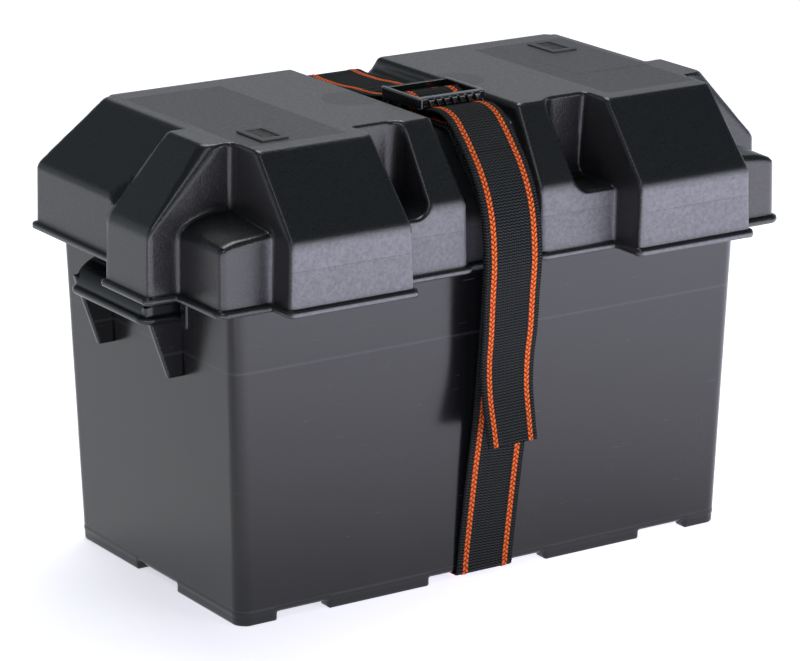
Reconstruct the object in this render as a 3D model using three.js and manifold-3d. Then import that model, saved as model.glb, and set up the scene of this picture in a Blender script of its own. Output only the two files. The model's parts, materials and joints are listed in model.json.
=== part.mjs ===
// Battery box with a lift-off lid and a buckled hold-down strap.
// Millimetres; +X along the box, -Y is the buckle side, +Z up, feet at z = 0.
import * as THREE from "three";
import { mergeVertices } from "three/addons/utils/BufferGeometryUtils.js";
import Module from "manifold-3d";

const wasm = await Module();
wasm.setup();

// ---- driving dimensions ----
const tubHalfLength = 163; // at the feet
const tubHalfWidth = 90.2; // at the feet
const tubHeight = 214.1;
const draft = 0.03; // outward per millimetre of height
const tubWall = 3;
const tubCornerRadius = 8;
const footHeight = 5.3;
const footRing = 9; // width of the foot round the edge
const lidGap = 0.8; // tub wall to lid skirt
const lidWall = 2.6;
const fitGap = 0.3; // between pieces that touch
const skirtDrop = 31.1; // lid skirt below the tub's top edge
const roofRise = 42.7; // lid top above the slope edge
const beadFlare = 3.4;
const beadHeight = 5;
const strapWidth = 38;
const strapThick = 1.6;
const channelClear = 9.3; // strap edge to the channel's side at the lid top
const channelDepth = 9.2;
const blockReach = 23.2; // front outer blocks beyond the core skirt
const endReach = 32.6; // front end blocks beyond the tub
const rearEndReach = 27.9; // rear end blocks beyond the tub
const handleReach = 23.5;
const handleHalf = 40.4;
const buckleRail = 2.7;
const buckleClear = 0.8; // webbing edge to rail
const buckleDepth = 40.5;
const buckleHeight = 6.4;
const tailLength = 135; // free strap below the lid's slope edge

// ---- derived dimensions ----
const channelHalf = strapWidth / 2 + channelClear;
const tubTopX = tubHalfLength + draft * tubHeight;
const tubTopY = tubHalfWidth + draft * tubHeight;
const slopeZ = tubHeight + fitGap + lidWall + 5;
const rimZ = tubHeight - skirtDrop;
const roofZ = slopeZ + roofRise;
const floorY = tubTopY + lidGap + lidWall; // channel floor where it runs down the skirts
const coreFront = -(floorY + 3.9);
const coreBack = floorY + 3.4;
const backCorner = floorY + 1.7;
const blockFront = coreFront - blockReach;
const coreX = tubTopX + lidGap + lidWall + 3.2;
const outerX = tubTopX - 17.3; // outer side of the front outer blocks
const scoopX = channelHalf + 46.6; // inner side of the front outer blocks
const roofFront = blockFront + 37;
const roofBack = coreBack - 33.5;
const scoopY = coreFront + 34.4; // back wall of the scoops
const scoopZ = slopeZ - 5;
const innerX = channelHalf + 13; // outer side of the blocks beside the channel
const innerRoofY = coreFront + 30.2;
const channelFloorZ = roofZ - channelDepth;
const handleZ = rimZ - 17.5; // lip of the handle
const buckleWidth = strapWidth + 2 * (buckleRail + buckleClear);
const shiftY = (blockFront - beadFlare + coreBack + beadFlare) / -2;

// ---- helpers ----
function solid(geometry) {
  const bare = new THREE.BufferGeometry();
  const source = geometry.index ? geometry.toNonIndexed() : geometry;
  bare.setAttribute("position", source.getAttribute("position"));
  const merged = mergeVertices(bare, 1e-4);
  const meshData = {
    numProp: 3,
    vertProperties: new Float32Array(merged.attributes.position.array),
    triVerts: new Uint32Array(merged.index.array),
  };
  return new wasm.Manifold(new wasm.Mesh(meshData));
}

function add(...bodies) {
  return bodies.reduce((a, b) => a.add(b));
}

function extrude(points, length) {
  const shape = new THREE.Shape(points.map(([u, v]) => new THREE.Vector2(u, v)));
  return new THREE.ExtrudeGeometry(shape, { depth: length, bevelEnabled: false });
}

// Profile of [y, z] points run along X.
function prismX(points, x0, x1) {
  const g = extrude(points, x1 - x0);
  const m = new THREE.Matrix4().set(0, 0, 1, x0, 1, 0, 0, 0, 0, 1, 0, 0, 0, 0, 0, 1);
  return solid(g.applyMatrix4(m));
}

// Profile of [x, z] points run along Y.
function prismY(points, y0, y1) {
  const g = extrude(points, y1 - y0);
  const m = new THREE.Matrix4().set(1, 0, 0, 0, 0, 0, -1, y1, 0, 1, 0, 0, 0, 0, 0, 1);
  return solid(g.applyMatrix4(m));
}

function box(x0, x1, y0, y1, z0, z1) {
  const g = new THREE.BoxGeometry(x1 - x0, y1 - y0, z1 - z0);
  g.translate((x0 + x1) / 2, (y0 + y1) / 2, (z0 + z1) / 2);
  return solid(g);
}

// Corner points of a rectangle in plan, each corner rounded by r in the given steps.
function plan(x0, x1, y0, y1, r = 0, steps = 2) {
  const corners = [
    [x1 - r, y1 - r, 0],
    [x0 + r, y1 - r, 1],
    [x0 + r, y0 + r, 2],
    [x1 - r, y0 + r, 3],
  ];
  const out = [];
  for (const [cx, cy, quarter] of corners) {
    for (let i = 0; i <= steps; i++) {
      const a = (quarter + i / steps) * (Math.PI / 2);
      out.push([cx + r * Math.cos(a), cy + r * Math.sin(a)]);
    }
  }
  return out;
}

// Closed body through plan outlines at rising heights: [[z, outline], ...].
function loft(levels) {
  const n = levels[0][1].length;
  const position = [];
  const index = [];
  for (const [z, outline] of levels) {
    for (const [x, y] of outline) position.push(x, y, z);
  }
  for (let k = 0; k + 1 < levels.length; k++) {
    for (let i = 0; i < n; i++) {
      const a = k * n + i;
      const b = k * n + ((i + 1) % n);
      index.push(a, b, b + n, a, b + n, a + n);
    }
  }
  const top = (levels.length - 1) * n;
  for (let i = 1; i + 1 < n; i++) {
    index.push(0, i + 1, i);
    index.push(top, top + i, top + i + 1);
  }
  const g = new THREE.BufferGeometry();
  g.setAttribute("position", new THREE.Float32BufferAttribute(position, 3));
  g.setIndex(index);
  return solid(g);
}

function mirrorX(body) {
  return body.mirror([1, 0, 0]);
}

function bothEnds(body) {
  return body.add(mirrorX(body));
}

// Flat strap of the given width that follows [y, z] centre points.
function ribbon(points, steps, x0 = -strapWidth / 2, x1 = strapWidth / 2) {
  const curve = new THREE.CatmullRomCurve3(
    points.map(([y, z]) => new THREE.Vector3(y, z, 0)),
    false,
    "centripetal",
  );
  const left = [];
  const right = [];
  for (let i = 0; i <= steps; i++) {
    const p = curve.getPointAt(i / steps);
    const t = curve.getTangentAt(i / steps);
    left.push([p.x - (t.y * strapThick) / 2, p.y + (t.x * strapThick) / 2]);
    right.push([p.x + (t.y * strapThick) / 2, p.y - (t.x * strapThick) / 2]);
  }
  return prismX([...right, ...left.reverse()], x0, x1);
}

// ---- tub ----
function tubLevel(z, inset, flare = 0) {
  const hx = tubHalfLength + draft * z - inset + flare;
  const hy = tubHalfWidth + draft * z - inset + flare;
  return [z, plan(-hx, hx, -hy, hy, tubCornerRadius - inset, 4)];
}

function makeTub() {
  const stepZ = tubHeight - 69;
  const strapGap = strapWidth / 2 + 20.5;
  const footFar = tubHalfLength - 24;
  const shell = loft([
    tubLevel(footHeight - 0.5, 0),
    tubLevel(stepZ, 0),
    tubLevel(stepZ + 0.6, 0, 0.3),
    tubLevel(tubHeight - 0.8, 0, 0.3),
    tubLevel(tubHeight, 0.5, 0),
  ]);
  const room = loft([
    tubLevel(footHeight + tubWall, tubWall),
    tubLevel(tubHeight + 2, tubWall),
  ]);
  const hx = tubHalfLength - footRing;
  const hy = tubHalfWidth - footRing;
  const foot = loft([tubLevel(0, 0.6), tubLevel(1, 0), tubLevel(footHeight, 0)])
    .subtract(box(-hx, hx, -hy, hy, -1, footHeight - 0.2))
    .subtract(box(-strapGap, strapGap, -200, 200, -1, footHeight))
    .subtract(bothEnds(box(footFar - 33, footFar, -200, 200, -1, footHeight)))
    .subtract(box(-300, 300, -21.5, 21.5, -1, footHeight));
  const body = shell.add(foot).subtract(room);

  // Handle: a quarter-round cowl with a rolled lip, on two tapering ribs.
  const wallX = tubHalfLength + draft * handleZ - 1;
  const rise = 18;
  const reach = handleReach + 1;
  const thick = 3;
  const outer = [];
  const inner = [];
  for (let i = 0; i <= 8; i++) {
    const a = (i / 8) * (Math.PI / 2);
    outer.push([wallX + reach * Math.cos(a), handleZ + rise * Math.sin(a)]);
    inner.push([wallX + (reach - thick) * Math.cos(a), handleZ + (rise - thick) * Math.sin(a)]);
  }
  const cowl = prismY([...outer, ...inner.reverse()], -handleHalf, handleHalf);
  const lipX = wallX + reach;
  const lip = prismY(
    [
      [lipX - thick, handleZ - 1.2],
      [lipX - 0.6, handleZ - 2],
      [lipX + 1.4, handleZ - 0.8],
      [lipX + 1.8, handleZ + 1.2],
      [lipX + 0.4, handleZ + 3],
      [lipX - thick, handleZ + 3],
    ],
    -handleHalf,
    handleHalf,
  );
  const ribProfile = [
    [wallX, handleZ - 34],
    [wallX + 8, handleZ - 33],
    [wallX + 11, handleZ - 28],
    [wallX + reach - thick - 2, handleZ - 4],
    [wallX + reach - thick - 0.5, handleZ + 3],
    [wallX + reach * 0.55, handleZ + rise * 0.72],
    [wallX, handleZ + rise - thick],
  ];
  const rib = prismY(ribProfile, handleHalf - 3, handleHalf);
  const tab = prismY(
    [
      [wallX, handleZ - 4],
      [wallX + 4, handleZ - 3],
      [wallX + 4, handleZ + 9],
      [wallX, handleZ + 12],
    ],
    -handleHalf - 11,
    -handleHalf - 4,
  );
  const handle = add(cowl, lip, rib, rib.mirror([0, 1, 0]), tab);
  return body.add(bothEnds(handle));
}

// ---- lid ----
// One drafted block of the lid, with its bead when it is the outer skin.
function block(inset, foot, edge, roof, rim = rimZ, edgeZ = slopeZ, topZ = roofZ) {
  const r = inset ? 0.6 : 2.6;
  const grow = (b, d) => plan(b[0] - d, b[1] + d, b[2] - d, b[3] + d, r);
  const levels = [];
  if (inset) {
    levels.push([rim - 8, grow(foot, -inset)]);
  } else {
    levels.push([rim, grow(foot, beadFlare - 1)]);
    levels.push([rim + 1.2, grow(foot, beadFlare)]);
    levels.push([rim + beadHeight - 1.4, grow(foot, beadFlare)]);
    levels.push([rim + beadHeight, grow(foot, 0)]);
  }
  levels.push([edgeZ - inset * (roof ? 0.4 : 1), grow(edge, -inset)]);
  if (roof) {
    levels.push([topZ - (inset || 0), grow(roof, inset ? -inset : 0)]);
  }
  return loft(levels);
}

function lidOutline(inset) {
  const roofX = outerX - 2;
  const core = block(
    inset,
    [-coreX, coreX, coreFront - 1, backCorner + 0.6],
    [-coreX, coreX, coreFront, backCorner],
    null,
    rimZ,
    scoopZ,
  );
  const back = block(
    inset,
    [-outerX, outerX, 0, coreBack + 0.6],
    [-outerX, outerX, 0, coreBack],
    [-roofX, roofX, 0, roofBack],
  );
  const middle = block(
    inset,
    [-outerX, outerX, scoopY - 1, 20],
    [-outerX, outerX, scoopY - 0.6, 20],
    [-roofX, roofX, scoopY, 20],
  );
  const front = block(
    inset,
    [scoopX - 1, outerX + 0.6, blockFront - 0.6, 0],
    [scoopX, outerX, blockFront, 0],
    [scoopX + 2.2, roofX, roofFront, 0],
  );
  const beside = block(
    inset,
    [0, innerX + 3, coreFront - 1, 0],
    [0, innerX + 2, coreFront + 0.4, 0],
    [0, innerX, innerRoofY, 0],
  );
  const post = block(
    inset,
    [0, tubTopX + 14.3, coreFront - 5.3, 0],
    [0, tubTopX + 14, coreFront - 5, 0],
    [0, tubTopX, coreFront + 9, 0],
    rimZ,
    slopeZ - 1,
    slopeZ + 5,
  );
  const endFront = block(
    inset,
    [100, tubTopX + endReach + 0.6, -66.6, -19.5],
    [100, tubTopX + endReach, -66.3, -20],
    [100, tubTopX - 3.8, -66.3, -23.9],
  );
  const endRear = block(
    inset,
    [100, tubTopX + rearEndReach + 0.6, -30, 69.5],
    [100, tubTopX + rearEndReach, -30, 69],
    [100, tubTopX - 14.8, -30, 66.4],
    rimZ + 11.7,
    slopeZ + 9.2,
  );
  const side = add(front, beside, post, endFront, endRear);
  return add(core, back, middle, bothEnds(side));
}

// Side profile of the strap channel's floor.
function channelFloor(inset) {
  const foot = rimZ - (inset ? 9 : 0);
  const front = -floorY + inset;
  const back = floorY - inset;
  const top = channelFloorZ - inset;
  return [
    [front, foot],
    [back, foot],
    [back, slopeZ + 2.7 - inset],
    [roofBack + 6 - inset * 0.4, top],
    [innerRoofY + 3.4 + inset * 0.4, top],
    [front, slopeZ - 6.4 - inset * 0.4],
  ];
}

function makeLid() {
  const low = channelHalf - 4.3;
  const carve = (grow) =>
    loft([
      [rimZ - 12, plan(-low - grow, low + grow, -300, 300)],
      [slopeZ, plan(-low - 0.5 - grow, low + 0.5 + grow, -300, 300)],
      [roofZ + 4, plan(-channelHalf - grow - 0.4, channelHalf + grow + 0.4, -300, 300)],
    ]);
  const beads = add(
    prismX(
      [
        [-floorY + 1, rimZ],
        [-floorY + 1, rimZ + beadHeight],
        [-floorY, rimZ + beadHeight],
        [-floorY - beadFlare, rimZ + beadHeight - 1.4],
        [-floorY - beadFlare, rimZ + 1.2],
        [-floorY - beadFlare + 1, rimZ],
      ].reverse(),
      -low - 2,
      low + 2,
    ),
    prismX(
      [
        [floorY - 1, rimZ],
        [floorY + beadFlare - 1, rimZ],
        [floorY + beadFlare, rimZ + 1.2],
        [floorY + beadFlare, rimZ + beadHeight - 1.4],
        [floorY, rimZ + beadHeight],
        [floorY - 1, rimZ + beadHeight],
      ],
      -low - 2,
      low + 2,
    ),
  );
  const skin = lidOutline(0).subtract(carve(0));
  const outer = add(skin, prismX(channelFloor(0), -channelHalf - 0.7, channelHalf + 0.7), beads);
  const hollow = lidOutline(lidWall).subtract(carve(lidWall));
  const reach = channelHalf + lidWall + 0.6;
  const inner = hollow.add(prismX(channelFloor(lidWall), -reach, reach));
  return outer.subtract(inner);
}

// ---- vents: a raised frame over a ribbed floor, pressed into a pocket in the roof ----
const ventLength = 27;
const ventInset = 40.9; // vent centre to the tub's end
const ventWidth = 17.5;
const ventPlug = 2; // depth of the plug in the pocket

function ventPocket(cx, cy) {
  const hx = ventWidth / 2 - 2;
  const hy = ventLength / 2 - 2;
  return box(cx - hx, cx + hx, cy - hy, cy + hy, roofZ - lidWall - 2, roofZ + 1);
}

function makeVent(cx, cy) {
  const hx = ventWidth / 2;
  const hy = ventLength / 2;
  const low = roofZ + fitGap;
  const top = roofZ + 1.6;
  let frame = loft([
    [low, plan(cx - hx, cx + hx, cy - hy, cy + hy, 0.8, 1)],
    [top - 0.4, plan(cx - hx, cx + hx, cy - hy, cy + hy, 0.8, 1)],
    [top, plan(cx - hx + 0.4, cx + hx - 0.4, cy - hy + 0.4, cy + hy - 0.4, 0.8, 1)],
  ]);
  const px = hx - 2 - fitGap;
  const py = hy - 2 - fitGap;
  frame = frame.add(box(cx - px, cx + px, cy - py, cy + py, roofZ - ventPlug, low + 0.2));
  const qx = hx - 3.2;
  const qy = hy - 3.2;
  frame = frame.subtract(box(cx - qx, cx + qx, cy - qy, cy + qy, roofZ - 0.9, top + 1));
  for (let y = cy - qy + 1.6; y < cy + qy - 1; y += 2.4) {
    frame = frame.add(box(cx - qx - 0.2, cx + qx + 0.2, y - 0.45, y + 0.45, roofZ - 1.1, roofZ - 0.2));
  }
  return frame;
}

// ---- buckle ----
const buckleBack = -12.5;
const buckleFront = buckleBack - buckleDepth;
const buckleZ = roofZ - 1.5;
const buckleTop = buckleZ + buckleHeight;
const midBarY = (buckleBack + buckleFront) / 2 + 4.5;
const midBarZ = buckleZ + 0.6;

function makeBuckle() {
  const hx = buckleWidth / 2;
  const rail = buckleRail;
  const shape = (d, r) => plan(-hx + d, hx - d, buckleFront + d, buckleBack - d, r, 3);
  const frame = loft([
    [buckleZ, shape(0.7, 2.2)],
    [buckleZ + 1, shape(0, 2.6)],
    [buckleTop - 1, shape(0, 2.6)],
    [buckleTop, shape(0.7, 2.2)],
  ]);
  const windowZ = [buckleZ - 2, buckleTop + 2];
  const open = box(-hx + rail, hx - rail, buckleFront + 5, buckleBack - 4, ...windowZ);
  const step = box(-hx + rail, hx - rail, buckleFront - 2, buckleFront + 5.1, buckleZ - 1, buckleZ + 1.6);
  const slim = box(-hx + rail, hx - rail, buckleBack - 4.1, buckleBack + 1, -1.2, 1.2);
  let body = frame
    .subtract(open)
    .subtract(step)
    .subtract(slim.translate([0, 0, buckleZ]))
    .subtract(slim.translate([0, 0, buckleTop]));
  const bar = prismX(
    [
      [midBarY - 2, midBarZ - 0.9],
      [midBarY - 0.9, midBarZ - 1.8],
      [midBarY + 0.9, midBarZ - 1.8],
      [midBarY + 2, midBarZ - 0.9],
      [midBarY + 2, midBarZ + 0.9],
      [midBarY + 0.9, midBarZ + 1.8],
      [midBarY - 0.9, midBarZ + 1.8],
      [midBarY - 2, midBarZ + 0.9],
    ],
    -hx + rail - 0.5,
    hx - rail + 0.5,
  );
  const ears = prismX(
    [
      [midBarY - 2.6, midBarZ - 2.2],
      [midBarY + 2.6, midBarZ - 2.2],
      [midBarY + 3.4, buckleZ + 1.2],
      [midBarY - 3.4, buckleZ + 1.2],
    ],
    hx - rail,
    hx - 0.3,
  );
  body = add(body, bar, bothEnds(ears));
  const teeth = 7;
  const pitch = (buckleWidth - 2 * rail - 4) / teeth;
  for (let i = 0; i < teeth; i++) {
    const x = (i - (teeth - 1) / 2) * pitch;
    const tooth = prismY(
      [
        [x - pitch * 0.36, buckleTop - 1.4],
        [x, buckleZ + 1.3],
        [x + pitch * 0.36, buckleTop - 1.4],
      ],
      buckleFront - 1.6,
      buckleFront + 2,
    );
    body = body.add(tooth);
  }
  return body;
}

// ---- strap ----
const strapHalf = strapThick / 2;
const lowZ = footHeight - 1.1 - strapHalf; // strap under the floor
const wallOffset = fitGap + strapHalf + 0.4;
const lowY = tubHalfWidth + wallOffset;
const rimY = floorY + beadFlare + fitGap + strapHalf; // strap in front of the channel's bead
const channelTop = channelFloorZ + fitGap + strapHalf;
const seamLow = 9;
const seamRim = rimZ - 4;
const rimSlope = (rimY - lowY) / (rimZ - lowZ - 3);
const runY = (z) => lowY + 0.3 + (z - lowZ - 3) * rimSlope;

function makeStrapUnder() {
  const end = (s) => [
    [s * (tubHalfWidth - 1.5), lowZ],
    [s * (lowY - 0.5), lowZ + 0.15],
    [s * (lowY + 0.3), lowZ + 1.7],
    [s * runY(seamLow), seamLow],
  ];
  return ribbon([...end(-1).reverse(), [-40, lowZ], [0, lowZ], [40, lowZ], ...end(1)], 46);
}

function makeStrapRun(side) {
  const low = seamLow + fitGap;
  return ribbon(
    [
      [side * runY(low), low],
      [side * runY(seamRim / 2), seamRim / 2],
      [side * runY(seamRim), seamRim],
    ],
    10,
  );
}

function makeFrontUpper() {
  const low = seamRim + fitGap;
  return ribbon(
    [
      [-runY(low), low],
      [-rimY, rimZ + 3],
      [-rimY + 0.9, slopeZ - 18],
      [-floorY - wallOffset - 0.3, slopeZ - 9],
      [-floorY + 2.2 - strapHalf, slopeZ - 1.4],
      [innerRoofY - 5.4 - strapHalf, channelFloorZ - 10],
      [innerRoofY + 1, channelTop + 0.4],
      [innerRoofY + 9, channelTop + 0.3],
      [buckleFront + 6, channelTop + 0.2],
      [midBarY - 6, channelTop + 0.3],
    ],
    44,
  );
}

const wrapR = 2.2 + fitGap + strapHalf;

function makeWrap() {
  return ribbon(
    [
      [midBarY - 5.4, channelTop + 0.5],
      [midBarY - 1, midBarZ - wrapR - 0.6],
      [midBarY + wrapR * 0.8, midBarZ - wrapR * 0.55],
      [midBarY + wrapR * 0.9, midBarZ + wrapR * 0.5],
      [midBarY, midBarZ + wrapR + 0.1],
      [midBarY - 5, midBarZ + wrapR - 0.6],
      [midBarY - 11, buckleZ + 1.2],
      [buckleFront + 5, buckleZ + 0.2],
      [buckleFront + 0.5, buckleZ + 0.1],
    ],
    40,
  );
}

function makeTailUpper() {
  return ribbon(
    [
      [buckleFront + 0.2, buckleZ + 0.1],
      [buckleFront - 5, buckleZ + 0.6],
      [buckleFront - 11, buckleZ + 0.6],
      [innerRoofY - 1, buckleZ - 1.8],
      [innerRoofY - 9, buckleZ - 8.4],
      [innerRoofY - 18.5, buckleZ - 18],
      [innerRoofY - 28, slopeZ + 11],
      [innerRoofY - 32.6, slopeZ + 2],
    ],
    26,
  );
}

function makeTail() {
  const y = innerRoofY - 32.6;
  const z = slopeZ + 2;
  const end = z - fitGap - tailLength;
  return ribbon(
    [
      [y - 0.15, z - fitGap],
      [y - 4.4, z - 13],
      [y - 6.4, z - 29],
      [y - 6.2, z - 55],
      [y - 3.6, z - 80],
      [y - 2.2, z - 97],
      [y - 3.2, z - 112],
      [y - 7.4, end],
    ],
    24,
  );
}

const stitchY = buckleBack + 30;

function makeTopRun() {
  const low = seamRim + fitGap;
  return ribbon(
    [
      [runY(low), low],
      [rimY, rimZ + 3],
      [rimY + 0.1, slopeZ - 20],
      [floorY + wallOffset + 1.4, slopeZ + 1.5],
      [floorY - 5, slopeZ + 12.5],
      [roofBack + 10, channelFloorZ - 1.5],
      [roofBack + 4, channelTop + 1],
      [roofBack - 6, channelTop + 0.6],
      [stitchY + 26, channelTop + 0.8],
      [stitchY + 10, channelTop + 2.2],
      [stitchY - 8, channelTop + 3.2],
      [buckleBack + 8, buckleZ + 2.8],
      [buckleBack + 1.6, buckleTop + 0.4],
      [buckleBack - 2, buckleTop + 1.3],
    ],
    56,
  );
}

function makeAnchorFold() {
  return ribbon(
    [
      [buckleBack - 2.9, buckleTop + 1.3],
      [buckleBack - 5.2, buckleTop + 0.6],
      [buckleBack - 5.8, buckleTop - 3],
      [buckleBack - 4.9, buckleZ - 0.6],
      [buckleBack - 1, buckleZ - 1.7],
      [buckleBack + 5, buckleZ - 2.2],
      [stitchY - 10, channelTop + 0.9],
      [stitchY + 7, channelTop + 0.1],
    ],
    34,
  );
}

function makeStitching() {
  const z = channelTop + 2.4 + strapHalf + fitGap + 0.45;
  const hx = 13;
  let body = box(-hx, hx, stitchY - 0.6, stitchY + 0.6, z, z + 0.7);
  body = body.add(box(-hx, hx, stitchY + 7.4, stitchY + 8.6, z, z + 0.7));
  body = body.add(box(-hx, -hx + 1.2, stitchY - 0.6, stitchY + 8.6, z, z + 0.7));
  return body.add(box(hx - 1.2, hx, stitchY - 0.6, stitchY + 8.6, z, z + 0.7));
}

// ---- assembly ----
const plastic = { color: 0x2b2c2f, roughness: 0.5 };
const lidPlastic = { color: 0x3a3a3d, roughness: 0.62 };
const webbing = { color: 0x17181a, roughness: 0.9 };
const gloss = { color: 0x121315, roughness: 0.25 };
const thread = { color: 0xd9571f, roughness: 0.8 };
const assembly = new THREE.Group();
assembly.name = "battery_box";

function place(name, body, look) {
  const data = body.getMesh();
  const g = new THREE.BufferGeometry();
  g.setAttribute("position", new THREE.BufferAttribute(data.vertProperties, 3));
  g.setIndex(new THREE.BufferAttribute(data.triVerts, 1));
  g.translate(0, shiftY, 0);
  const mesh = new THREE.Mesh(g, new THREE.MeshStandardMaterial({ ...look, flatShading: true }));
  mesh.name = name;
  assembly.add(mesh);
}

const ventA = [ventInset - tubTopX, blockFront + 66];
const ventB = [tubTopX - ventInset, roofBack - 36];
const lid = makeLid().subtract(ventPocket(...ventA)).subtract(ventPocket(...ventB));
place("tub", makeTub(), plastic);
place("lid", lid, lidPlastic);
place("vent_left", makeVent(...ventA), plastic);
place("vent_right", makeVent(...ventB), plastic);
place("buckle", makeBuckle(), gloss);
place("strap_under", makeStrapUnder(), webbing);
place("strap_front_run", makeStrapRun(-1), webbing);
place("strap_back_run", makeStrapRun(1), webbing);
place("strap_front_upper", makeFrontUpper(), webbing);
place("strap_top_run", makeTopRun(), webbing);
place("strap_anchor_fold", makeAnchorFold(), webbing);
place("strap_wrap", makeWrap(), webbing);
place("strap_tail_upper", makeTailUpper(), webbing);
place("strap_tail", makeTail(), webbing);
place("anchor_stitching", makeStitching(), thread);

export default assembly;
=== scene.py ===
"""Battery box with a lift-off lid, a webbing strap and a toothed buckle.

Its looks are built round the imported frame.
"""

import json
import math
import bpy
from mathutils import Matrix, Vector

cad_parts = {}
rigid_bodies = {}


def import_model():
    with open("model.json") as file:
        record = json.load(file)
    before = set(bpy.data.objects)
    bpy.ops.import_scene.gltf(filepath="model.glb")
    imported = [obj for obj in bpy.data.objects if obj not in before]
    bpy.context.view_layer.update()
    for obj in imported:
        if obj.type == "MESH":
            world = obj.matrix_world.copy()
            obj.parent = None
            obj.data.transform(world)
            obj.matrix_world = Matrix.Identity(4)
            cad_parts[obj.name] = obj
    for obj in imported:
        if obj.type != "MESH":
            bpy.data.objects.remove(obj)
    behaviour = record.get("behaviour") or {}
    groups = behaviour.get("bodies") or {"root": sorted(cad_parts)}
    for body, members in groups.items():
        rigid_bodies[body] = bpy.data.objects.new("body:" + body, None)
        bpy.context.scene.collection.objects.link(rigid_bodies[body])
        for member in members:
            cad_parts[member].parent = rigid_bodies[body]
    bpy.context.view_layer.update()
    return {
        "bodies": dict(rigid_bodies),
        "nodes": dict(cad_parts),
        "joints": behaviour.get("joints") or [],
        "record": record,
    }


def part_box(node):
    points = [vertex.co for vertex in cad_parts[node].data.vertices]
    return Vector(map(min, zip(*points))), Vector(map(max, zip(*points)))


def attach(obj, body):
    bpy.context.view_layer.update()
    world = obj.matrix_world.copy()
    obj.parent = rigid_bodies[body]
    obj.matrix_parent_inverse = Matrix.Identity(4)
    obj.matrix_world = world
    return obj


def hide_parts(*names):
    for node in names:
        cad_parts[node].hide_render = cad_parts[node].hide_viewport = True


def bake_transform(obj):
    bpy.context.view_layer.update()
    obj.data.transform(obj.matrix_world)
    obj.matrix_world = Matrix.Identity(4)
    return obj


bl_info = {
    "name": "Battery box looks",
    "version": (1, 0, 0),
    "blender": (4, 5, 0),
    "location": "3D View > Sidebar > Battery box",
    "description": "Builds the moulded, woven and glossy pieces of a strapped battery box",
    "category": "Object",
}

import bpy
import numpy as np
from mathutils import Vector

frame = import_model()
MM = 0.001

# Places on the frame, in millimetres. Fields and paths below count y from the tub's middle.
TUB_LOW, TUB_HIGH = (np.array(c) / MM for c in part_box("tub"))
LID_LOW, LID_HIGH = (np.array(c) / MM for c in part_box("lid"))
MID_Y = float(TUB_LOW[1] + TUB_HIGH[1]) / 2
TUB_TOP = float(TUB_HIGH[2])
RIM = float(LID_LOW[2])
ROOF = float(LID_HIGH[2])
EDGE = ROOF - 42.7  # where the lid's skirts turn into its slopes
BUCKLE_LOW, BUCKLE_HIGH = (np.array(c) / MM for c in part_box("buckle"))


# ---- solids as distance fields ----
def round_max(a, b, r):
    """What two solids share, its edges rounded by r."""
    return np.minimum(-r, np.maximum(a, b)) + np.hypot(np.maximum(r + a, 0), np.maximum(r + b, 0))


def round_min(a, b, r):
    """Two solids joined, with a fillet of radius r."""
    return np.maximum(r, np.minimum(a, b)) - np.hypot(np.maximum(r - a, 0), np.maximum(r - b, 0))


def face(u, z, low, high):
    """Distance outside the plane through two points (u, z), which faces +u."""
    du, dz = high[0] - low[0], high[1] - low[1]
    return ((u - low[0]) * dz - (z - low[1]) * du) / math.hypot(du, dz)


def side(u, z, foot, edge, roof, r=2.5, rim=RIM, edge_z=EDGE, roof_z=ROOF):
    """A skirt that leans in above its edge."""
    skirt = face(u, z, (foot, rim), (edge, edge_z))
    return round_max(skirt, face(u, z, (edge, edge_z), (roof, roof_z)), r)


def every(*fields, r=2.5):
    total = fields[0]
    for f in fields[1:]:
        total = round_max(total, f, r)
    return total


def levels(low, high, step):
    return np.arange(low - 1.5 * step, high + 2.5 * step, step)


REFINEMENTS = 3  # steps that close in on the surface along a crossed grid edge
MARGIN = 0.02  # keeps a crossing off the ends of its grid edge
HOLD = 0.08  # holds a cell's point near its crossings where the surface is flat
OVERHANG = 0.1  # how far a point may leave its cell, as a share of the cell
TANGENT_STEP, NORMAL_STEP = 0.1, 0.3  # spans of the slope samples, as shares of the grid


def gradient(field, place, h):
    """The field's slope at each point, and how strongly it bends."""
    slope = np.zeros_like(place)
    bend = -6 * field(*place.T)
    for k in range(3):
        off = np.zeros(3)
        off[k] = h
        up, down = field(*(place + off).T), field(*(place - off).T)
        slope[:, k] = (up - down) / (2 * h)
        bend = bend + up + down
    return slope, bend / h**2


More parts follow.
